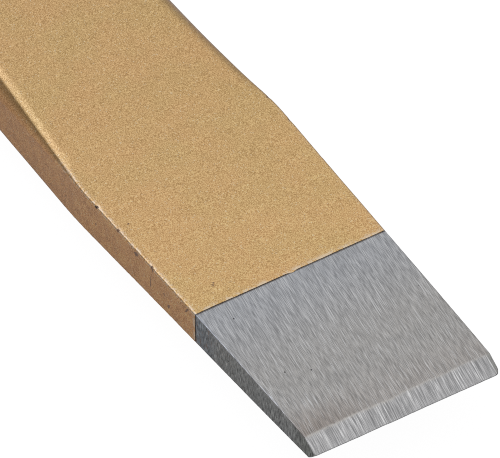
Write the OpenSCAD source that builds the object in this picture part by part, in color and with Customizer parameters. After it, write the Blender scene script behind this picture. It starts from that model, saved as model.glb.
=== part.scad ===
// Flat cold chisel, forged in one piece from a flat-oval bar, with a dark primer under a
// lacquer coat. The cutting end and the head are ground bare.
// Millimetres. The origin is the middle of the cutting edge. +X points out of the edge along
// the tool, Y runs along the edge and +Z stands on the broad face.

/* [Overall] */
// Length from the cutting edge to the striking face
overall_l = 250; // [180:5:400]

/* [Cutting end] */
// Width of the cutting edge
edge_w = 25.3; // [20:0.1:30]
// Thickness of the blade where the edge bevels start
tip_t = 2.7; // [1.6:0.02:3.4]
// Length of the upper edge bevel
top_bevel_l = 2.3; // [1.5:0.05:4]
// Length of the lower edge bevel
bottom_bevel_l = 1.55; // [1.2:0.05:4]
// How far the ground faces bulge halfway between the bevels and the primer
belly = 0.07; // [0:0.01:0.2]
// Length of the bare ground end, from the edge to the lacquer
bare_l = 25.2; // [15:0.1:35]
// Width of the blade where the lacquer starts
border_w = 26.3; // [22:0.1:32]
// Thickness of the blade where the lacquer starts
border_t = 4.46; // [3.6:0.01:5.4]

/* [Blade and shoulder] */
// Distance from the edge to the widest part of the blade, where the shoulder starts
shoulder_d = 50; // [42:1:56]
// Width of the blade at its widest part
blade_w = 27.6; // [24:0.1:32]
// Thickness of the blade at its widest part
blade_t = 5.95; // [5:0.05:8]
// Length over which the blade narrows to the width of the shank
flare_l = 20; // [8:1:30]
// Length over which the blade thickens to the thickness of the shank
shoulder_l = 62; // [40:1:70]
// Rounding of the blade's long edges
blade_edge_r = 0.2; // [0.2:0.1:1]

/* [Shank] */
// Width of the flat-oval shank
shank_w = 26.6; // [22:0.1:30]
// Thickness of the flat-oval shank
shank_t = 13; // [11:0.5:16]
// Flat height left in the middle of each rounded side of the shank
side_flat = 1; // [0.5:0.1:2]
// How far the middle of the shank lies below the middle of the blade
shank_drop = 0.7; // [0:0.1:1.5]

/* [Head] */
// Length of the bare tapered head
head_l = 16; // [10:1:24]
// Width of the striking face
face_w = 20; // [16:0.5:22]
// Thickness of the striking face
face_t = 9; // [7:0.5:10.5]
// Length of the chamfer round the striking face
face_chamfer = 1.2; // [0.5:0.1:2]

/* [Finish] */
// Thickness of the dark primer on the steel
primer_t = 0.05; // [0.03:0.01:0.2]
// Thickness of the lacquer over the primer
lacquer_t = 0.05; // [0.03:0.01:0.3]
// Width of the dark line of primer that shows beyond the lacquer
primer_line = 0.15; // [0.1:0.05:1]

/* [Hidden] */
ground_l = bare_l - primer_line;     // where the primer starts, measured back from the edge
shank_d = shoulder_d + shoulder_l;   // where the shank starts
head_d = overall_l - head_l;         // where the head starts
shank_r = (shank_t - side_flat) / 2; // rounding of the shank's long edges
face_r = (face_t - side_flat) / 2;   // rounding of the striking face's corners
rounding_lag = 1.35;                 // above 1, the edges round off later than the blade thickens
loft_steps = 18;                     // sections along the shoulder
corner_steps = 8;                    // facets on each rounded corner of a section
span = 60;                           // more than the widest and the thickest section

function ease(u) = u * u * (3 - 2 * u);
function mix(a, b, u) = a + (b - a) * u;
function part_way(d, d1, d2) = max(0, min(1, (d - d1) / (d2 - d1)));

// How far a change that starts at the shoulder and takes length has come at distance d. It starts
// at once and ends gently.
function change(d, length) = sqrt(ease(part_way(d, shoulder_d, shoulder_d + length)));

// A size that changes from the blade's front, through its widest part, to the shank and then
// over the tapered head and its chamfer, at distance d behind the edge
function along(d, front, widest, shank, rear, face, changed) =
    d < shoulder_d ? mix(front, widest, part_way(d, ground_l, shoulder_d))
    : d <= head_d ? mix(widest, shank, changed)
    : d < overall_l ? mix(shank, rear, part_way(d, head_d, overall_l - face_chamfer))
    : face;

function width(d) =
    along(d, border_w, blade_w, shank_w, face_w + face_chamfer, face_w, change(d, flare_l));
function thickness(d) =
    along(d, border_t, blade_t, shank_t, face_t + face_chamfer, face_t, change(d, shoulder_l));
// The long edges are sharp along the blade and round off towards the shank
function rounding(d) =
    along(
        d, blade_edge_r, blade_edge_r, shank_r, face_r + face_chamfer / 2, face_r,
        pow(change(d, shoulder_l), rounding_lag)
    );

// One section at distance d behind the edge, grown by the thickness of the film on it,
// anticlockwise seen from the cutting edge
function ring(d, film) =
    let (w = width(d) / 2, t = thickness(d) / 2, r = rounding(d))
    [for (corner = [0:3], step = [0:corner_steps])
        let (
            angle = 90 * (corner + step / corner_steps),
            side_y = (corner == 0 || corner == 3) ? 1 : -1,
            side_z = corner < 2 ? 1 : -1
        )
        [
            -d,
            side_y * (w - r) + (r + film) * cos(angle),
            side_z * (t - r) + (r + film) * sin(angle) - shank_drop * change(d, flare_l)
        ]];

// Distances of the sections between two ends that lie on the blade and on the shank or head
function stations(front, rear) = concat(
    [front],
    [for (k = [0:loft_steps]) shoulder_d + k * shoulder_l / loft_steps],
    rear
);

// Triangles between ring a and ring b, of n points each
function band(n, a, b) = [
    for (i = [0:n - 1]) each [
        [a * n + i, a * n + (i + 1) % n, b * n + i],
        [a * n + (i + 1) % n, b * n + (i + 1) % n, b * n + i]
    ]
];

// Solid skin through the sections at distances ds
module loft(ds) {
    rings = [for (d = ds) ring(d, 0)];
    n = len(rings[0]);
    last = len(ds) - 1;
    polyhedron(
        points = [for (one = rings) each one],
        faces = concat(
            [[for (i = [n - 1:-1:0]) i]],
            [for (k = [0:last - 1]) each band(n, k, k + 1)],
            [[for (i = [0:n - 1]) last * n + i]]
        )
    );
}

// Closed sleeve over the steel between the films' thicknesses inner and outer
module sleeve(ds, inner, outer) {
    rings = concat(
        [for (d = ds) ring(d, outer)],
        [for (i = [len(ds) - 1:-1:0]) ring(ds[i], inner)]
    );
    n = len(rings[0]);
    count = len(rings);
    polyhedron(
        points = [for (one = rings) each one],
        faces = [for (k = [0:count - 1]) each band(n, k, (k + 1) % count)]
    );
}

// Outline through [distance behind the edge, half size] points, one list for each side of the axis
module outline(upper, lower) {
    polygon(concat(
        [for (p = upper) [-p[0], p[1]]],
        [for (i = [len(lower) - 1:-1:0]) [-lower[i][0], -lower[i][1]]]
    ));
}

// One ground face in side view: the edge, the bevel's rear line, the belly and the primer's line
function ground_face(bevel_l) =
    let (front = [bevel_l, tip_t / 2], rear = [ground_l, border_t / 2 + primer_t])
    [[0, 0], front, (front + rear) / 2 + [0, belly], rear];

// Ground wedge with the two edge bevels, flush with the primer behind it: its outline in plan cut
// by its outline in side view
module cutting_end() {
    plan = [[0, edge_w / 2], [ground_l, border_w / 2 + primer_t]];
    intersection() {
        linear_extrude(span, center = true)
            outline(plan, plan);
        rotate([90, 0, 0])
            linear_extrude(span, center = true)
                outline(ground_face(top_bevel_l), ground_face(bottom_bevel_l));
    }
}

module chisel_forging() {
    color("#9a9a9a") {
        cutting_end();
        loft(stations(ground_l, [head_d, overall_l - face_chamfer, overall_l]));
    }
}

module dark_primer() {
    color("#3c2a1c")
        sleeve(stations(ground_l, [head_d]), 0, primer_t);
}

module gold_lacquer() {
    color("#c1a06c")
        sleeve(stations(bare_l, [head_d - primer_line]), primer_t, primer_t + lacquer_t);
}

chisel_forging();
dark_primer();
gold_lacquer();
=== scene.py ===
"""Flat cold chisel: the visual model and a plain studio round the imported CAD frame.

Lengths are in millimetres until a mesh is made. d is the distance behind the cutting edge.
"""
import math
from dataclasses import dataclass, field

import bpy
import numpy as np
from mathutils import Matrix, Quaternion, Vector, noise


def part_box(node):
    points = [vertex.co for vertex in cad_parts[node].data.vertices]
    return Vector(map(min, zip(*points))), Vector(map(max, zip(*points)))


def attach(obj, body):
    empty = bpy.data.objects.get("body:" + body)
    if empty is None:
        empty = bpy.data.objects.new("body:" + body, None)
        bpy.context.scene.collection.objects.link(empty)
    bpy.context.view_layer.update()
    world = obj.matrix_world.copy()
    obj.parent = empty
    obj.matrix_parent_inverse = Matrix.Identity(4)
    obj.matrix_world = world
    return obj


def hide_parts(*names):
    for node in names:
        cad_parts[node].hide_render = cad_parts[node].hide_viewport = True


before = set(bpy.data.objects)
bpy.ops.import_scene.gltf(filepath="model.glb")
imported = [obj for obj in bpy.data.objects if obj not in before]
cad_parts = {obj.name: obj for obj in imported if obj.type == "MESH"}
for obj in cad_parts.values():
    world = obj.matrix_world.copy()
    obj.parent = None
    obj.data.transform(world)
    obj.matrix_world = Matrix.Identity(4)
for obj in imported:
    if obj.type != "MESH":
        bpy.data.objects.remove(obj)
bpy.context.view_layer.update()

MM = 0.001

# ---------------------------------------------------------------- sizes, from the CAD


def front_and_rear(node):
    """How far behind the edge a CAD node starts and ends."""
    low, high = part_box(node)
    return -high.x / MM, -low.x / MM


def width_of(node):
    low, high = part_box(node)
    return (high.y - low.y) / MM


def node_points(node):
    return np.array([v.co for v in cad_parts[node].data.vertices]) / MM


STEEL = node_points("chisel_forging")
OVERALL_L = front_and_rear("chisel_forging")[1]
PRIMER_FRONT, HEAD_FRONT = front_and_rear("dark_primer")
LACQUER_FRONT, LACQUER_REAR = front_and_rear("gold_lacquer")
PRIMER_T = (width_of("dark_primer") - width_of("chisel_forging")) / 2
FILM_T = (width_of("gold_lacquer") - width_of("chisel_forging")) / 2
EDGE_HALF_W = np.abs(STEEL[STEEL[:, 0] > -0.01][:, 1]).max()


def cad_sections(points, front, film):
    """Rows of distance, half width, half thickness, edge rounding and height of the middle.

    They come from a CAD node's sections from front back, and film is what that node adds to the steel.
    """
    rows = []
    for d in np.unique(np.round(-points[:, 0], 2)):
        if d < front - 0.05:
            continue
        ring = points[np.abs(points[:, 0] + d) < 0.02]
        half_w = ring[:, 1].max()
        low, high = ring[:, 2].min(), ring[:, 2].max()
        flat = ring[(ring[:, 2] > high - 0.004) & (np.abs(ring[:, 1]) < half_w - 0.1)]
        r = half_w - flat[:, 1].max() - film
        rows.append((d, half_w - film, (high - low) / 2 - film, r, (high + low) / 2))
    return np.array(rows)


def ground_face(side):
    """The upper (1) or lower (-1) ground face in side view.

    Returns the distance and height where its bevel starts, and its height behind that as a polynomial in d.
    """
    on_side = STEEL[(STEEL[:, 2] * side > 0) & (STEEL[:, 0] > -PRIMER_FRONT - 0.01)]
    lines = np.unique(np.round(-on_side[:, 0], 2))
    heights = [np.abs(on_side[np.abs(on_side[:, 0] + d) < 0.02][:, 2]).max() for d in lines]
    return lines[0], heights[0], np.polyfit(lines, heights, 2)


SECTIONS = np.concatenate([
    cad_sections(node_points("dark_primer"), 0, PRIMER_T),
    cad_sections(STEEL, HEAD_FRONT + 1, 0),
])
BORDER_HALF_W = SECTIONS[0, 1] + PRIMER_T
GROUND_FACES = {side: ground_face(side) for side in (1, -1)}
SHOULDER_FRONT = SECTIONS[SECTIONS[:, 1].argmax(), 0]
SHANK_FRONT = SECTIONS[np.abs(SECTIONS[:, 2] - SECTIONS[:, 2].max()) < 0.001][0, 0]
CHAMFER_FRONT = SECTIONS[-2, 0]


def smoothed_sections():
    """The CAD's sections on a fine grid, with the corners between its stations eased."""
    grid = np.arange(0, OVERALL_L + 0.25, 0.25)
    reach = 3.0
    taps = np.linspace(-reach, reach, 25)
    weight = (1 + np.cos(np.pi * taps / reach)) / 2
    weight /= weight.sum()
    forged = fade(grid, SHOULDER_FRONT - 8, SHOULDER_FRONT - 4) * fade(HEAD_FRONT - grid, 2, 4)
    columns = []
    for column in range(1, SECTIONS.shape[1]):
        plain = np.interp(grid, SECTIONS[:, 0], SECTIONS[:, column])
        eased = sum(w * np.interp(grid + t, grid, plain) for w, t in zip(weight, taps))
        columns.append(plain + (eased - plain) * forged)
    return grid, columns


def size_at(d):
    """Half width, half thickness, edge rounding and middle height of the steel under the films."""
    return [np.interp(d, GRID, column) for column in COLUMNS]


# ---------------------------------------------------------------- irregularity


def fade(value, start, end):
    """0 at start, 1 at end, eased."""
    u = np.clip((value - start) / (end - start), 0, 1)
    return u * u * (3 - 2 * u)


def ripple(points, size, seed):
    """Smooth noise from -1 to 1 at each point, with features of about size."""
    shift = Vector((17.3, -5.1, 3.7)) * seed
    return np.array([noise.noise(Vector(p) / size + shift) for p in points])


def smooth_min(a, b, width):
    """The smaller of a and b, with the crease between them rounded over width."""
    h = np.clip(0.5 + 0.5 * (b - a) / width, 0, 1)
    return b + (a - b) * h - width * h * (1 - h)


def bell(value, width):
    return np.exp(-((value / width) ** 2))


GRID, COLUMNS = smoothed_sections()

# ---------------------------------------------------------------- sections and skins

FLAT_POINTS = 96
CORNER_POINTS = 9
SIDE_POINTS = 9
ON_SIDE, ON_CORNER, ON_FLAT = range(3)
# How far in the upper face starts to roll down along the shoulder, and by how much
ROLL_W, ROLL_H = 1.1, 0.30
# Rounded edges: width and height in their radius, and how far the arc is flattened to a slope. The
# last two are the -Y edges along the shoulder
ROUND = np.array([1, 1, 0])
UPPER_SLOPE = np.array([0.75, 0.78, 0.7])
LOWER_SLOPE = np.array([1, 1, 0.3])


@dataclass
class Ring:
    """A closed section: its points, their outward normals, what each lies on, and masks for materials."""

    points: np.ndarray
    normals: np.ndarray
    kind: np.ndarray
    masks: dict = field(default_factory=dict)

    def lift(self, height):
        self.points = self.points + self.normals * height[:, None]


def half_ring(half_w, height, r, middle, tilt=0.0, near=ROUND):
    """From the middle of the +Y side over a broad face to the middle of the -Y side.

    height gives the face's height at each y, and tilt how steeply it meets the rounded edges, in
    radians. near is the shape of the -Y rounded edge, like ROUND. The rows are y, z, the normal's y
    and z, and the kind.
    """
    in_far, in_near = (share * r * (1 - math.sin(tilt)) for share in (ROUND[0], near[0]))
    y_flat = np.linspace(half_w - in_far, in_near - half_w, FLAT_POINTS)
    z_flat = height(y_flat)
    turn = np.linspace(0, math.pi / 2 - tilt, CORNER_POINTS + 2)[1:-1]
    rise = np.linspace(0, 1, SIDE_POINTS + 1)
    upright = np.ones(SIDE_POINTS + 1)
    ends = []
    for side, z_end, (wide, tall, flatter) in ((1, z_flat[0], ROUND), (-1, z_flat[-1], near)):
        # Between the arc and its chord, which both run from the side to the face
        chord = turn / (math.pi / 2 - tilt)
        inward = 1 - np.cos(turn) + flatter * (chord * (1 - math.sin(tilt)) - 1 + np.cos(turn))
        up = np.sin(turn) + flatter * (chord * math.cos(tilt) - np.sin(turn))
        z_low = z_end - tall * r * math.cos(tilt)
        ends.append(np.stack([
            np.append(side * half_w * upright, side * (half_w - wide * r * inward)),
            np.append(middle + rise * (z_low - middle), z_low + tall * r * up),
            np.append(side * upright, side * np.cos(turn)),
            np.append(0 * upright, np.sin(turn)),
            np.append(ON_SIDE * upright, np.full(CORNER_POINTS, ON_CORNER)),
        ]))
    upward = np.ones(FLAT_POINTS)
    flat = np.stack([y_flat, z_flat, 0 * upward, upward, ON_FLAT * upward])
    return np.concatenate([ends[0], flat, ends[1][:, ::-1]], axis=1)


def full_ring(d, half_w, upper, lower, r, middle=0.0, tilt=0.0, near=(ROUND, ROUND)):
    """A closed section at distance d: over the upper face, then back under the lower one.

    near has the shapes of the upper and the lower -Y edge.
    """
    over = half_ring(half_w, upper, r, middle, tilt, near[0])
    under = half_ring(half_w, lower, r, -middle, 0.0, near[1])
    under = under[:, -2:0:-1] * np.array([[1], [-1], [1], [-1], [1]])
    y, z, normal_y, normal_z, kind = np.concatenate([over, under], axis=1)
    x = np.full(len(y), -float(d))
    return Ring(np.stack([x, y, z], 1), np.stack([0 * x, normal_y, normal_z], 1), kind)


def level(height):
    return lambda y: np.full(len(y), height)


def body_ring(d, film):
    """A section of the forged body, grown by a film. Along the shoulder, the upper face rolls down
    before it meets its rounded edges, and the -Y edges are flattened."""
    half_w, half_t, r, middle = size_at(d)
    reach, outside, r = half_t + film, half_w + film, r + film
    behind = d - SHOULDER_FRONT
    formed = fade(behind, 1, 9) * fade(52 - behind, 0, 24)
    low = ROLL_H * formed
    tilt = math.atan(2 * low / ROLL_W)
    near = [ROUND + (slope - ROUND) * formed for slope in (UPPER_SLOPE, LOWER_SLOPE)]

    def upper(y):
        flat_end = outside - np.where(y < 0, near[0][0], 1) * r * (1 - math.sin(tilt))
        share = np.clip((np.abs(y) - flat_end) / ROLL_W + 1, 0, 1)
        return reach + middle - low * share ** 2

    return full_ring(d, outside, upper, level(reach - middle), r, middle, tilt, near)


def skin(name, rings, closed, node):
    """A piece through equal rings, which stands for a CAD node. closed joins the last ring to the first."""
    n, count = len(rings[0].points), len(rings)
    faces = []
    for k in range(count if closed else count - 1):
        a, b = k * n, (k + 1) % count * n
        faces += [(a + i, b + i, b + (i + 1) % n, a + (i + 1) % n) for i in range(n)]
    if not closed:
        faces += cap(0, n, False) + cap((count - 1) * n, n, True)
    mesh = bpy.data.meshes.new(name)
    points = np.concatenate([ring.points for ring in rings]) * MM
    mesh.from_pydata(points.tolist(), [], faces)
    mesh.shade_smooth()
    for key in sorted({key for ring in rings for key in ring.masks}):
        values = np.concatenate([ring.masks.get(key, np.zeros(n)) for ring in rings])
        mesh.attributes.new(key, "FLOAT", "POINT").data.foreach_set("value", values.astype(np.float32))
    piece = bpy.data.objects.new(name, mesh)
    bpy.context.scene.collection.objects.link(piece)
    piece.modifiers.new("WeightedNormal", "WEIGHTED_NORMAL").weight = 60
    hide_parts(node)
    return piece


def cap(first, n, flip):
    """Strips across a ring, from its upper half to its lower half."""
    half = n // 2
    upper = [first + i for i in range(half + 1)]
    lower = [first + (n - i) % n for i in range(half + 1)]
    faces = [(upper[0], upper[1], lower[1])]
    faces += [(upper[i], upper[i + 1], lower[i + 1], lower[i]) for i in range(1, half - 1)]
    faces += [(upper[half - 1], upper[half], lower[half - 1])]
    return [tuple(reversed(f)) for f in faces] if flip else faces


# ---------------------------------------------------------------- the steel

EDGE_HALF_T = 0.045
GROUND_R = 0.13
# Rounding of the edge's two corners in plan
FAR_CORNER_R, NEAR_CORNER_R = 0.75, 0.4
# Pits as (distance, y) on the upper flank and as (distance, height) on the -Y side
FLANK_PITS = [(12.0, -9.2), (10.7, -6.4), (22.3, -9.7)]
SIDE_PITS = [(18.2, 0.5), (17.2, -0.8)]


def ground_faces(d, y, side):
    """The upper (1) or lower (-1) ground face's height at y, and how far the bevel lies above the flank."""
    bevel_l, bevel_z, curve = GROUND_FACES[side]
    flank = np.polyval(curve, d)
    bevel = EDGE_HALF_T + (bevel_z - EDGE_HALF_T) / bevel_l * d
    line = np.stack([0 * y, y, 0 * y], 1)
    waves = 0.09 * ripple(line, 5.5, 2 + side) + 0.055 * ripple(line, 1.7, 5 + side)
    waves += 0.025 * ripple(line, 0.5, 8 + side)
    lead = bevel + waves * fade(d, 0, 0.9) - flank
    return flank + smooth_min(0 * y, lead, 0.045), lead


def edge_notch(y):
    """How far the cutting edge stands back at y: a little out of square, wavy, with nicks and burrs."""
    line = np.stack([y, 0 * y, 0 * y], 1)
    nicks = 0.06 * np.maximum(0, np.abs(ripple(line, 0.7, 12)) - 0.3)
    return 0.04 - 0.012 * y + 0.03 * ripple(line, 3.1, 11) + nicks


def corner_inset(radius, d):
    """How far a rounded corner of the edge stands in at distance d."""
    behind = max(radius - d, 0)
    return radius - math.sqrt(radius ** 2 - behind ** 2)


def ground_half_w(d):
    return EDGE_HALF_W + (BORDER_HALF_W - EDGE_HALF_W) * min(d / PRIMER_FRONT, 1)


def ground_ring(d):
    """A section of the ground end."""
    half_w = ground_half_w(d)
    thinnest = min(ground_faces(d, np.zeros(1), side)[0][0] for side in (1, -1))
    r = min(GROUND_R, thinnest * 0.8)
    heights = [lambda y, side=side: ground_faces(d, y, side)[0] for side in (1, -1)]
    ring = full_ring(d, half_w, *heights, r)
    y = ring.points[:, 1]
    lead = np.where(ring.normals[:, 2] >= 0, ground_faces(d, y, 1)[1], ground_faces(d, y, -1)[1])
    ring.masks["bevel"] = np.where(ring.kind == ON_SIDE, 0, 1 - fade(lead, -0.03, 0.03))
    # Where the break between bevel and flank gets a painted highlight
    ring.masks["ridge"] = np.where(ring.kind == ON_SIDE, 0, bell(lead + 0.02, 0.09))
    inset = np.where(y > 0, corner_inset(FAR_CORNER_R, d), corner_inset(NEAR_CORNER_R, d))
    ring.points[:, 1] *= 1 - inset / half_w
    ring.points[:, 0] -= edge_notch(y) * (1 - fade(d, 0, 1.2))
    nibble = ripple(ring.points, 0.45, 14) - 0.1
    ring.lift(np.where(ring.kind == ON_CORNER, -0.035 * np.maximum(0, nibble) * fade(d, 0.5, 1.5), 0))
    return ring


def make_steel():
    tucked = 0.03
    crown_h = 0.8
    rings = [ground_ring(d) for d in np.arange(0, 3.2, 0.08)]
    rings += [ground_ring(d) for d in np.arange(3.2, PRIMER_FRONT, 0.35)]
    rings += [ground_ring(PRIMER_FRONT + d) for d in (0.02, 0.25)]
    rings += [body_ring(d, -tucked) for d in np.arange(PRIMER_FRONT + 1.2, HEAD_FRONT - 1, 3)]
    rim = OVERALL_L - crown_h
    rings += [body_ring(d, 0) for d in np.arange(HEAD_FRONT, CHAMFER_FRONT, 0.8)]
    rings += [body_ring(d, 0) for d in np.linspace(CHAMFER_FRONT, rim, 4)]
    for ring in rings:
        ring.masks["side"] = ring.kind == ON_SIDE
        ring.masks["far_edge"] = far_edge(ring)
    # The striking face rises from its rounded rim to a slightly crowned middle
    outer = rings[-1]
    for turn in np.linspace(0, math.pi / 2, 40)[1:-1]:
        shrink = math.cos(turn) ** 0.55
        points = outer.points * [1, shrink, shrink]
        points[:, 0] -= crown_h * math.sin(turn) ** 0.5
        rings.append(Ring(points, outer.normals, outer.kind, {"face": np.ones(len(points))}))
    return skin("forged_steel_body", rings, False, "chisel_forging")


# ---------------------------------------------------------------- the films

# Marks that go through the lacquer: two ends as (distance, height) on a side or (distance, y) on the
# upper face, and half the width
SIDE_MARKS = [
    ((26.6, 2.05), (27.2, 1.2), 0.16),
    ((30.8, -0.8), (31.0, -1.15), 0.24),
    ((31.8, 0.4), (31.9, 0.2), 0.16),
    ((34.5, 2.5), (34.2, 2.2), 0.22),
    ((34.6, 1.3), (34.85, -1.0), 0.11),
    ((37.6, 2.2), (38.0, 1.9), 0.30),
    ((41.7, 3.0), (41.8, 2.7), 0.24),
    ((46.4, 3.1), (46.6, 2.7), 0.26),
    ((46.7, -0.1), (46.8, -0.2), 0.20),
]
TOP_MARKS = [
    ((28.1, -8.9), (28.5, -8.7), 0.15),
    ((42.0, -12.1), (42.1, -12.0), 0.16),
    ((121.0, 4.0), (126.5, 2.2), 0.14),
    ((171.0, -5.0), (171.4, -4.2), 0.22),
]


def segment_distance(points, start, end):
    start, end = np.array(start), np.array(end)
    along = end - start
    share = np.clip((points - start) @ along / (along @ along), 0, 1)
    return np.linalg.norm(points - start - share[:, None] * along, axis=1)


def mark_mask(ring):
    """1 in the middle of a mark, 0 away from all of them. The +Y side has the same marks farther back."""
    x, y, z = ring.points.T
    plan, side = np.stack([-x, y], 1), np.stack([-x - np.where(y > 0, 5.3, 0), z], 1)
    on_top = (ring.kind == ON_FLAT) & (ring.normals[:, 2] > 0)
    mask = np.zeros(len(x))
    for marks, place, here in ((SIDE_MARKS, side, ring.kind != ON_FLAT), (TOP_MARKS, plan, on_top)):
        for start, end, half_width in marks:
            near = bell(segment_distance(place, start, end), half_width * 1.2)
            mask = np.maximum(mask, np.where(here, near, 0))
    return mask


def far_edge(ring):
    """1 on the +Y side's upper edge, where it turns down. The materials darken it there as painted shade.
    """
    _, out, up = ring.normals.T
    return np.where((ring.kind == ON_CORNER) & (out > 0) & (up > 0), 1 - fade(up, 0.55, 0.95), 0)


def front_wander(points, seed):
    """How far a masked paint line wanders at each point of a section."""
    return 0.035 * ripple(points, 2.6, seed) + 0.02 * ripple(points, 0.6, seed + 1)


def film_rings(front, rear, inner, outer, lip, seed, spacing):
    """Outer rings of a film from front to rear, then its inner rings back again.

    lip lists (distance from the film's end, share of its thickness). spacing lists (start, step).
    """
    thickness = outer - inner
    starts = [lip[-1][0] + front] + [start for start, _ in spacing[1:]] + [rear - lip[-1][0]]
    spans = [np.arange(a, b - step / 2, step) for a, b, (_, step) in zip(starts, starts[1:], spacing)]
    skins = [(front + step, inner + share * thickness) for step, share in lip[:-1]]
    skins += [(d, outer) for d in np.concatenate(spans)]
    skins += [(rear - step, inner + share * thickness) for step, share in reversed(lip)]
    buried = [rear - 0.25, *np.arange(rear - 3, front + 3, -3.0), front + 0.25]
    outside = [body_ring(d, film) for d, film in skins]
    for ring in outside:
        d = -ring.points[0, 0]
        ring.points[:, 0] += front_wander(ring.points, seed) * (1 - fade(min(d - front, rear - d), 0, 1.2))
    return outside, [body_ring(d, inner) for d in buried]


def make_primer():
    lip = [(0, 0.1), (0.01, 0.6), (0.04, 0.9), (0.1, 1)]
    spacing = [(0, 1.5), (SHANK_FRONT, 3)]
    outside, inside = film_rings(PRIMER_FRONT, HEAD_FRONT, 0, PRIMER_T, lip, 31, spacing)
    return skin("dark_primer_film", outside + inside, True, "dark_primer")


def make_lacquer():
    lip = [(0, 0.1), (0.015, 0.5), (0.05, 0.85), (0.1, 1), (0.2, 1.1), (0.45, 1.06), (0.8, 1)]
    spacing = [(0, 0.25), (SHOULDER_FRONT + 14, 0.6), (SHANK_FRONT, 2.5)]
    outside, inside = film_rings(LACQUER_FRONT, LACQUER_REAR, PRIMER_T, FILM_T, lip, 41, spacing)
    for ring in outside:
        d = -ring.points[0, 0]
        x, y, z = ring.points.T
        inward = fade(min(d - LACQUER_FRONT, LACQUER_REAR - d), 0, 3)
        from_edge = np.abs(y).max() - np.abs(y)
        # The sharp edges are ragged, and the material paints them pale, partly wear and partly painted
        # highlight, weaker on the +Y side
        sharp = np.where(ring.kind == ON_SIDE, 0, 1 - fade(from_edge, 0.3, 0.65))
        sharp = sharp * (1 - fade(d, SHOULDER_FRONT + 2, SHOULDER_FRONT + 9)) * np.where(y > 0, 0.3, 1)
        mark = mark_mask(ring)
        swell = 0.022 * ripple(ring.points, 13, 21) + 0.012 * ripple(ring.points, 4.5, 22)
        ragged = 0.03 * ripple(ring.points, 0.55, 23) * sharp
        ring.lift(np.maximum((swell + ragged) * inward, -0.03) - 0.035 * mark)
        # A blob of lacquer runs over the primer line near the middle of the upper face
        near_front = 1 - fade(d - LACQUER_FRONT, 0, 0.6)
        blob = bell(y - 0.2, 0.45) * (z > 0) * near_front
        ring.points[:, 0] += 0.2 * blob - 0.04 * near_front
        # How far a point faces sideways: the lacquer's material paints these parts browner as shade
        ring.masks["side"] = np.where(ring.kind == ON_FLAT, 0, ring.normals[:, 1] ** 2)
        ring.masks["mark"] = mark
        ring.masks["sharp"] = sharp
        # The lacquer's front, where the material paints a pale rim as a highlight
        ring.masks["lip"] = np.full(len(x), 1 - fade(d - LACQUER_FRONT, 0.2, 0.6))
        ring.masks["far_edge"] = far_edge(ring)
    return skin("gold_lacquer_coat", outside + inside, True, "gold_lacquer")


# ---------------------------------------------------------------- materials


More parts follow.
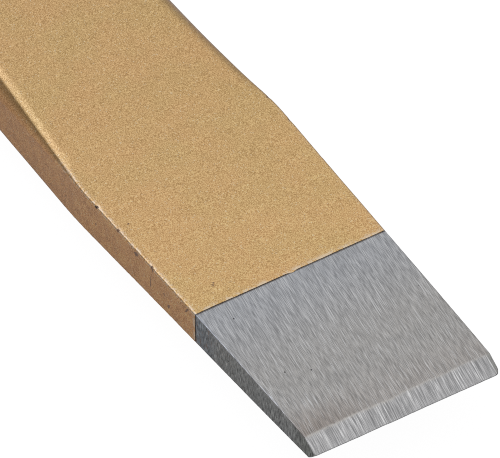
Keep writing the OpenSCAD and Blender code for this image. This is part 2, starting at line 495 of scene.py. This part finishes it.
class Nodes:
    """Builds one material's node tree."""

    def __init__(self, name):
        self.material = bpy.data.materials.new(name)
        self.material.use_nodes = True
        self.tree = self.material.node_tree
        self.shader = self.tree.nodes["Principled BSDF"]
        self.place = self.add("ShaderNodeTexCoord").outputs["Object"]

    def add(self, kind, **settings):
        node = self.tree.nodes.new(kind)
        for key, value in settings.items():
            setattr(node, key, value)
        return node

    def feed(self, socket, value):
        if isinstance(value, bpy.types.NodeSocket):
            self.tree.links.new(value, socket)
        else:
            socket.default_value = value

    def set(self, **values):
        """Sets the shader's inputs, with _ for a space in their names."""
        for key, value in values.items():
            self.feed(self.shader.inputs[key.replace("_", " ")], value)

    def math(self, operation, a, b=0.0):
        node = self.add("ShaderNodeMath", operation=operation)
        self.feed(node.inputs[0], a)
        self.feed(node.inputs[1], b)
        return node.outputs[0]

    def mapped(self, size_mm, turn=0.0, shift=(0, 0, 0)):
        """Object coordinates turned about Z by turn degrees, in units of size_mm along x, y and z."""
        turned = self.add("ShaderNodeMapping", vector_type="TEXTURE")
        self.feed(turned.inputs["Vector"], self.place)
        turned.inputs["Rotation"].default_value = (0, 0, math.radians(turn))
        node = self.add("ShaderNodeMapping")
        self.feed(node.inputs["Vector"], turned.outputs[0])
        node.inputs["Scale"].default_value = [1 / (size * MM) for size in size_mm]
        node.inputs["Location"].default_value = shift
        return node.outputs[0]

    def noise(self, size_mm, detail=2.0, roughness=0.5, turn=0.0, shift=(0, 0, 0)):
        """Noise with features of size_mm, a number or three numbers."""
        sizes = size_mm if isinstance(size_mm, tuple) else (size_mm,) * 3
        node = self.add("ShaderNodeTexNoise")
        self.feed(node.inputs["Vector"], self.mapped(sizes, turn, shift))
        node.inputs["Scale"].default_value = 1.0
        node.inputs["Detail"].default_value = detail
        node.inputs["Roughness"].default_value = roughness
        return node.outputs["Fac"]

    def specks(self, size_mm, share, seed=0.0):
        """Small round specks of size_mm in a share of the cells of a grid about four times as wide."""
        cell = self.add("ShaderNodeTexVoronoi")
        self.feed(cell.inputs["Vector"], self.mapped((4 * size_mm,) * 3, 0, (seed, 2 * seed, -seed)))
        cell.inputs["Scale"].default_value = 1.0
        lucky = self.add("ShaderNodeSeparateXYZ")
        self.feed(lucky.inputs[0], cell.outputs["Color"])
        round_speck = self.span(cell.outputs["Distance"], 0.22, 0.08)
        return self.math("MULTIPLY", round_speck, self.span(lucky.outputs[0], share, share - 0.01))

    def flakes(self, size_mm):
        """A random value from 0 to 1 for each cell."""
        cell = self.add("ShaderNodeTexVoronoi")
        self.feed(cell.inputs["Vector"], self.mapped((size_mm,) * 3))
        cell.inputs["Scale"].default_value = 1.0
        value = self.add("ShaderNodeSeparateXYZ")
        self.feed(value.inputs[0], cell.outputs["Color"])
        return value.outputs[0]

    def span(self, value, low, high, to_low=0.0, to_high=1.0):
        """value from low..high to to_low..to_high, eased and clamped."""
        if low > high:
            low, high, to_low, to_high = high, low, to_high, to_low
        node = self.add("ShaderNodeMapRange", interpolation_type="SMOOTHSTEP")
        for key, v in (("Value", value), ("From Min", low), ("From Max", high)):
            self.feed(node.inputs[key], v)
        self.feed(node.inputs["To Min"], to_low)
        self.feed(node.inputs["To Max"], to_high)
        return node.outputs[0]

    def mix(self, share, a, b):
        node = self.add("ShaderNodeMix", data_type="RGBA")
        self.feed(node.inputs[0], share)
        for socket, value in ((node.inputs[6], a), (node.inputs[7], b)):
            self.feed(socket, (*value, 1.0) if isinstance(value, tuple) else value)
        return node.outputs[2]

    def scaled(self, colour, factor):
        """colour times a grey factor."""
        node = self.add("ShaderNodeVectorMath", operation="SCALE")
        self.feed(node.inputs[0], colour)
        self.feed(node.inputs["Scale"], factor)
        return node.outputs[0]

    def tinted(self, colour, tint):
        """colour times another colour."""
        node = self.add("ShaderNodeVectorMath", operation="MULTIPLY")
        self.feed(node.inputs[0], colour)
        self.feed(node.inputs[1], tint)
        return node.outputs[0]

    def mask(self, name):
        return self.add("ShaderNodeAttribute", attribute_name=name).outputs["Fac"]

    def both(self, *shares):
        """The product of masks."""
        product = shares[0]
        for share in shares[1:]:
            product = self.math("MULTIPLY", product, share)
        return product

    def axis(self, which):
        """An object coordinate in millimetres."""
        node = self.add("ShaderNodeSeparateXYZ")
        self.feed(node.inputs[0], self.place)
        return self.math("DIVIDE", node.outputs[which], MM)

    def spot(self, place_mm, size_mm):
        """A soft-edged spot at a place."""
        node = self.add("ShaderNodeVectorMath", operation="DISTANCE")
        self.feed(node.inputs[0], self.place)
        node.inputs[1].default_value = [v * MM for v in place_mm]
        return self.span(node.outputs["Value"], size_mm * MM, size_mm * 0.4 * MM)

    def bump(self, height, distance_mm, strength=1.0, normal=None):
        node = self.add("ShaderNodeBump")
        self.feed(node.inputs["Height"], height)
        node.inputs["Distance"].default_value = distance_mm * MM
        node.inputs["Strength"].default_value = strength
        if normal is not None:
            self.feed(node.inputs["Normal"], normal)
        return node.outputs[0]


def gold_material():
    """Metallic lacquer: fine flakes, a satin clear skin, bruised edges, and painted light and shade:
    browner sides, a pale edge line and front rim, a darker +Y upper edge, lighter towards the cutting end.
    """
    n = Nodes("gold_bronze_lacquer")
    side = n.mask("side")
    drift = n.noise(9, 3, 0.55)
    base = n.mix(n.span(drift, 0.35, 0.65), (0.775, 0.505, 0.210), (0.815, 0.500, 0.214))
    patch = n.noise(1.3, 3, 0.6)
    # Painted shade: the sides are browner than the top, for the dimmer, warmer light they reflect
    painted_side_shade = n.mix(n.span(patch, 0.38, 0.62), (0.80, 0.415, 0.170), (0.89, 0.465, 0.185))
    base = n.mix(side, base, painted_side_shade)
    base = n.scaled(base, n.span(patch, 0.3, 0.7, 0.975, 1.025))
    # Painted light: the lacquer lighter towards the cutting end
    base = n.scaled(base, n.span(n.axis(0), -80, -22, 0.96, 1.085))
    base = n.scaled(base, n.span(n.both(side, patch), 0.3, 0.65, 0.98, 1.04))
    grain = n.noise(0.13, 1, 0.5)
    base = n.tinted(base, n.mix(n.span(grain, 0.28, 0.72), (0.70, 0.64, 0.53), (1.30, 1.36, 1.47)))
    flake = n.flakes(0.13)
    base = n.tinted(base, n.mix(flake, (0.90, 0.88, 0.84), (1.10, 1.12, 1.16)))
    base = n.mix(n.both(n.span(flake, 0.965, 0.985), 0.4), base, (0.98, 0.88, 0.66))
    base = n.mix(n.both(n.specks(0.1, 0.03), 0.6), base, (0.30, 0.15, 0.05))
    # Pale sharp edges: partly wear, partly a painted highlight where the edge catches the light
    ragged = n.noise(0.35, 3, 0.65)
    wear_and_highlight = n.both(n.mask("sharp"), n.span(ragged, 0.42, 0.58))
    base = n.mix(n.both(wear_and_highlight, 0.7), base, (1.0, 0.80, 0.60))
    # Painted highlight: a pale rim along the lacquer's front, where its rounded edge catches the light
    rim = n.both(n.mask("lip"), n.span(n.noise(0.7, 3, 0.6), 0.42, 0.55), 0.6)
    base = n.mix(rim, base, (1.0, 0.86, 0.68))
    # Painted shade: the +Y upper edge darkened, standing for the dark surroundings it reflects
    base = n.mix(n.both(n.mask("far_edge"), 0.6), base, (0.26, 0.20, 0.16))
    chip = n.math("ADD", n.mask("mark"), n.math("SUBTRACT", n.noise(0.2, 3, 0.6), 0.5))
    chip = n.span(chip, 0.45, 0.75)
    base = n.mix(n.both(chip, 0.8), base, (0.13, 0.055, 0.035))
    metal = n.span(chip, 0, 1, 0.85, 0.2)
    normal = n.bump(n.noise(1.1, 2, 0.5), 0.005)
    normal = n.bump(grain, 0.009, 1.0, normal)
    n.set(Base_Color=base, Roughness=n.span(grain, 0.3, 0.7, 0.38, 0.32), Metallic=metal, Normal=normal)
    n.set(Coat_Weight=0.4, Coat_Roughness=0.28, Coat_Normal=n.bump(grain, 0.003))
    return n.material


def primer_material():
    n = Nodes("dark_primer")
    patch = n.noise(0.4, 3, 0.6)
    base = n.mix(n.span(patch, 0.35, 0.65), (0.020, 0.012, 0.008), (0.055, 0.032, 0.020))
    n.set(Base_Color=base, Roughness=n.span(patch, 0.3, 0.7, 0.5, 0.75), Normal=n.bump(patch, 0.01))
    return n.material


def steel_material():
    """Belt-ground steel: skewed scratches on the flanks, cross-ground bevels, brushed sides, a few pits."""
    n = Nodes("ground_steel")
    x = n.axis(0)
    bevel, side, face = n.mask("bevel"), n.mask("side"), n.mask("face")

    # Flanks: hair-fine scratches, with longer single light and dark ones between them
    hair = n.noise((1.2, 0.08, 0.6), 1, 0.5, -7)
    soft = n.noise((6, 0.3, 2), 2, 0.6, -6, (7, 3, 1))
    light = n.span(n.noise((3.6, 0.09, 0.8), 1, 0.5, -8, (3, 1, 5)), 0.585, 0.665)
    dark = n.span(n.noise((2.6, 0.09, 0.8), 1, 0.5, -5, (9, 4, 2)), 0.40, 0.32)
    flank = n.mix(n.span(x, -25, -11), (0.465, 0.475, 0.495), (0.48, 0.468, 0.452))
    flank = n.mix(n.span(x, -9, -2), flank, (0.475, 0.448, 0.425))
    warm = n.both(n.span(x, -7, -2.4), n.span(n.axis(1), -2, -11), 0.7)
    flank = n.mix(warm, flank, (0.35, 0.30, 0.265))
    flank = n.scaled(flank, n.span(hair, 0.25, 0.75, 0.72, 1.28))
    flank = n.scaled(flank, n.span(soft, 0.3, 0.7, 0.96, 1.04))
    flank = n.mix(n.both(light, 0.62), flank, (0.84, 0.84, 0.84))
    flank = n.mix(n.both(dark, 0.45), flank, (0.22, 0.22, 0.22))

    # Bevels: straight strokes square to the edge, in bunches
    stroke = n.noise((2.6, 0.12, 3), 3, 0.7, 1, (2, 9, 4))
    bunch = n.noise((5, 0.9, 5), 2, 0.6, 0, (5, 1, 8))
    ground = n.mix(n.span(stroke, 0.33, 0.67), (0.34, 0.34, 0.345), (0.78, 0.775, 0.78))
    bright = n.both(n.span(stroke, 0.54, 0.66), n.span(bunch, 0.46, 0.60))
    ground = n.mix(bright, ground, (0.97, 0.97, 0.97))
    ground = n.scaled(ground, n.span(bunch, 0.3, 0.7, 0.90, 1.08))
    base = n.mix(bevel, flank, ground)
    # Painted highlight: a broken lighter line along the break between bevel and flank, stronger on the -Y
    # half
    broken = n.span(n.noise(0.3, 3, 0.7), 0.36, 0.56)
    ridge = n.both(n.mask("ridge"), broken, n.span(n.axis(1), 11, -11, 0.45, 0.75))
    base = n.mix(ridge, base, (0.66, 0.63, 0.59))
    # Painted shade: the rounded far corner of the bevel darkened
    far_corner_shade = n.both(n.span(n.axis(1), 11.9, 12.5), n.span(x, -3.2, -1.8), 0.5)
    base = n.mix(far_corner_shade, base, (0.21, 0.21, 0.17))

    # Sides: brushed from face to face, blotchy, a little rust near the lacquer, and painted darker than the
    # flanks as painted shade
    brush = n.noise((0.08, 1, 0.9), 1, 0.5)
    blotch = n.noise((0.5, 2, 0.7), 3, 0.65, 0, (1, 4, 2))
    side_steel_and_shade = n.mix(n.span(x, -24.5, -19), (0.32, 0.35, 0.375), (0.375, 0.375, 0.36))
    side_steel_and_shade = n.mix(n.span(x, -6, -1.5), side_steel_and_shade, (0.30, 0.305, 0.28))
    side_steel_and_shade = n.scaled(side_steel_and_shade, n.span(brush, 0.25, 0.75, 0.35, 1.65))
    side_steel_and_shade = n.scaled(side_steel_and_shade, n.span(blotch, 0.3, 0.7, 0.78, 1.22))
    rusty = n.span(n.noise((0.25, 2, 1.2), 2, 0.6, 0, (6, 6, 1)), 0.56, 0.66)
    rust = n.both(rusty, n.span(x, -20, -23), 0.6)
    side_steel_and_shade = n.mix(rust, side_steel_and_shade, (0.36, 0.22, 0.16))
    base = n.mix(side, base, side_steel_and_shade)
    stain = n.both(n.span(x, -PRIMER_FRONT + 0.09, -PRIMER_FRONT + 0.01), 0.7)
    base = n.mix(stain, base, (0.10, 0.075, 0.06))
    # Painted shade: the +Y upper edge darkened, standing for the dark surroundings it reflects
    base = n.mix(n.both(n.mask("far_edge"), 0.6), base, (0.14, 0.14, 0.14))

    # The head: turned and struck a little
    dimple = n.noise(1.6, 3, 0.6, 0, (3, 3, 3))
    struck = n.scaled(n.mix(n.span(dimple, 0.4, 0.6), (0.38, 0.375, 0.37), (0.50, 0.495, 0.485)),
                      n.span(n.noise(0.3, 3, 0.6), 0.3, 0.7, 0.85, 1.15))
    base = n.mix(face, base, struck)

    # Pits: a few on the flank and the near side, and sparse ones everywhere
    pits = n.specks(0.09, 0.012, 3.0)
    places = [(-d, y, np.polyval(GROUND_FACES[1][2], d)) for d, y in FLANK_PITS]
    places += [(-d, -ground_half_w(d), z) for d, z in SIDE_PITS]
    for place in places:
        pits = n.math("MAXIMUM", pits, n.spot(place, 0.16))
    base = n.mix(n.both(pits, 0.85), base, (0.05, 0.045, 0.04))

    strokes = n.mix(side, n.mix(bevel, hair, stroke), brush)
    normal = n.bump(strokes, 0.0010)
    normal = n.bump(n.both(face, dimple), 0.03, 1.0, normal)
    normal = n.bump(pits, -0.02, 1.0, normal)
    rough = n.span(strokes, 0.3, 0.7, 0.40, 0.30)
    n.set(Base_Color=base, Roughness=rough, Metallic=0.92, Normal=normal)
    return n.material


def floor_material():
    """White to the camera, with a trace of shadow. The light that bounces off it finds it pale grey."""
    n = Nodes("pale_floor")
    seen = n.add("ShaderNodeLightPath").outputs["Is Camera Ray"]
    n.set(Base_Color=n.mix(seen, (0.60, 0.60, 0.60), (0.08, 0.08, 0.08)), Roughness=0.9)
    n.set(Emission_Color=(1, 1, 1, 1), Emission_Strength=n.both(seen, 0.97))
    n.set(Specular_IOR_Level=0.0)
    return n.material


# ---------------------------------------------------------------- studio

# Brightness of the surroundings by the height of a direction, from straight down to straight up
SKY = ((0.0, 0.4), (0.5, 0.26), (0.62, 0.36), (0.78, 0.60), (0.86, 0.68), (1.0, 0.72))
# A dark flag behind the near left side shades the low directions round this one
FLAG = Vector((-0.62, -0.76, 0.20)).normalized()
FLAG_DEPTH = 0.75


def make_floor():
    size = 6.0
    clear_of_swells = 0.05 * MM
    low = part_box("gold_lacquer")[0].z - clear_of_swells
    mesh = bpy.data.meshes.new("floor")
    corners = [(-size, -size, low), (size, -size, low), (size, size, low), (-size, size, low)]
    mesh.from_pydata(corners, [], [(0, 1, 2, 3)])
    floor = bpy.data.objects.new("floor", mesh)
    bpy.context.scene.collection.objects.link(floor)
    mesh.materials.append(floor_material())


def make_world():
    """Soft surroundings that fall off towards the horizon, with a white backdrop for the camera."""
    world = bpy.data.worlds.new("studio")
    bpy.context.scene.world = world
    world.use_nodes = True
    tree = world.node_tree

    def add(kind, **settings):
        node = tree.nodes.new(kind)
        for key, value in settings.items():
            setattr(node, key, value)
        return node

    def ranged(value, low, high, to_low, to_high):
        node = add("ShaderNodeMapRange", interpolation_type="SMOOTHSTEP")
        tree.links.new(value, node.inputs["Value"])
        for key, v in (("From Min", low), ("From Max", high), ("To Min", to_low), ("To Max", to_high)):
            node.inputs[key].default_value = v
        return node.outputs[0]

    def times(a, b):
        node = add("ShaderNodeMath", operation="MULTIPLY")
        tree.links.new(a, node.inputs[0])
        tree.links.new(b, node.inputs[1])
        return node.outputs[0]

    direction = add("ShaderNodeTexCoord").outputs["Generated"]
    split = add("ShaderNodeSeparateXYZ")
    tree.links.new(direction, split.inputs[0])
    height = split.outputs["Z"]
    half = add("ShaderNodeMapRange")
    half.inputs["From Min"].default_value = -1.0
    tree.links.new(height, half.inputs["Value"])
    sky = add("ShaderNodeValToRGB")
    sky.color_ramp.interpolation = "EASE"
    while len(sky.color_ramp.elements) < len(SKY):
        sky.color_ramp.elements.new(0.5)
    for element, (at, brightness) in zip(sky.color_ramp.elements, SKY):
        element.position, element.color = at, (brightness, brightness, brightness, 1)
    tree.links.new(half.outputs[0], sky.inputs["Fac"])

    towards_flag = add("ShaderNodeVectorMath", operation="DOT_PRODUCT")
    tree.links.new(direction, towards_flag.inputs[0])
    towards_flag.inputs[1].default_value = FLAG
    near = ranged(towards_flag.outputs["Value"], 0.55, 0.85, 0, FLAG_DEPTH)
    low = ranged(height, 0.30, 0.60, 1, 0)
    shade = add("ShaderNodeMath", operation="SUBTRACT")
    shade.inputs[0].default_value = 1.0
    tree.links.new(times(near, low), shade.inputs[1])

    pick = add("ShaderNodeMix")
    tree.links.new(add("ShaderNodeLightPath").outputs["Is Camera Ray"], pick.inputs["Factor"])
    tree.links.new(times(sky.outputs["Color"], shade.outputs[0]), pick.inputs["A"])
    pick.inputs["B"].default_value = 1.0
    tree.links.new(pick.outputs[0], tree.nodes["Background"].inputs["Strength"])
    tree.nodes["Background"].inputs["Color"].default_value = (1, 1, 1, 1)


def softbox(name, towards, distance, size, power, colour):
    """A square area light in the direction towards, facing the cutting end."""
    data = bpy.data.lights.new(name, "AREA")
    data.shape, data.size, data.energy, data.color = "SQUARE", size, power, colour
    light = bpy.data.objects.new(name, data)
    aim = Vector((-0.05, 0, 0))
    light.location = aim + Vector(towards).normalized() * distance
    light.rotation_mode = "QUATERNION"
    light.rotation_quaternion = (light.location - aim).to_track_quat("Z", "Y")
    light.visible_camera = False
    bpy.context.scene.collection.objects.link(light)


def make_camera():
    """The view of the cutting end from in front, a little to one side and from above."""
    azimuth, elevation, roll = math.radians(58.37), math.radians(43.56), math.radians(-0.76)
    distance = 0.675
    aim = Vector((-0.03604, 0.00115, 0))
    back = Vector((
        math.cos(elevation) * math.sin(azimuth),
        -math.cos(elevation) * math.cos(azimuth),
        math.sin(elevation),
    ))
    camera = bpy.data.objects.new("camera", bpy.data.cameras.new("camera"))
    camera.data.lens = 409.3
    camera.data.clip_start, camera.data.clip_end = 0.01, 20
    camera.location = aim + back * distance
    camera.rotation_mode = "QUATERNION"
    camera.rotation_quaternion = Quaternion(back, roll) @ (-back).to_track_quat("-Z", "Y")
    bpy.context.scene.collection.objects.link(camera)
    bpy.context.scene.camera = camera


def make_studio():
    make_floor()
    make_world()
    softbox("rear_left", (-0.62, -0.18, 0.76), 0.8, 0.5, 0.45, (0.85, 1.0, 1.35))
    bpy.context.scene.view_settings.view_transform = "Standard"
    # The finishes are full of fine grain, which a wide pixel filter or denoising would smear
    bpy.context.scene.cycles.filter_width = 1.0
    bpy.context.scene.cycles.use_denoising = False
    make_camera()


# ---------------------------------------------------------------- everything together

for piece, material in (
    (make_steel(), steel_material()),
    (make_primer(), primer_material()),
    (make_lacquer(), gold_material()),
):
    piece.data.materials.append(material)
    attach(piece, "root")

make_studio()
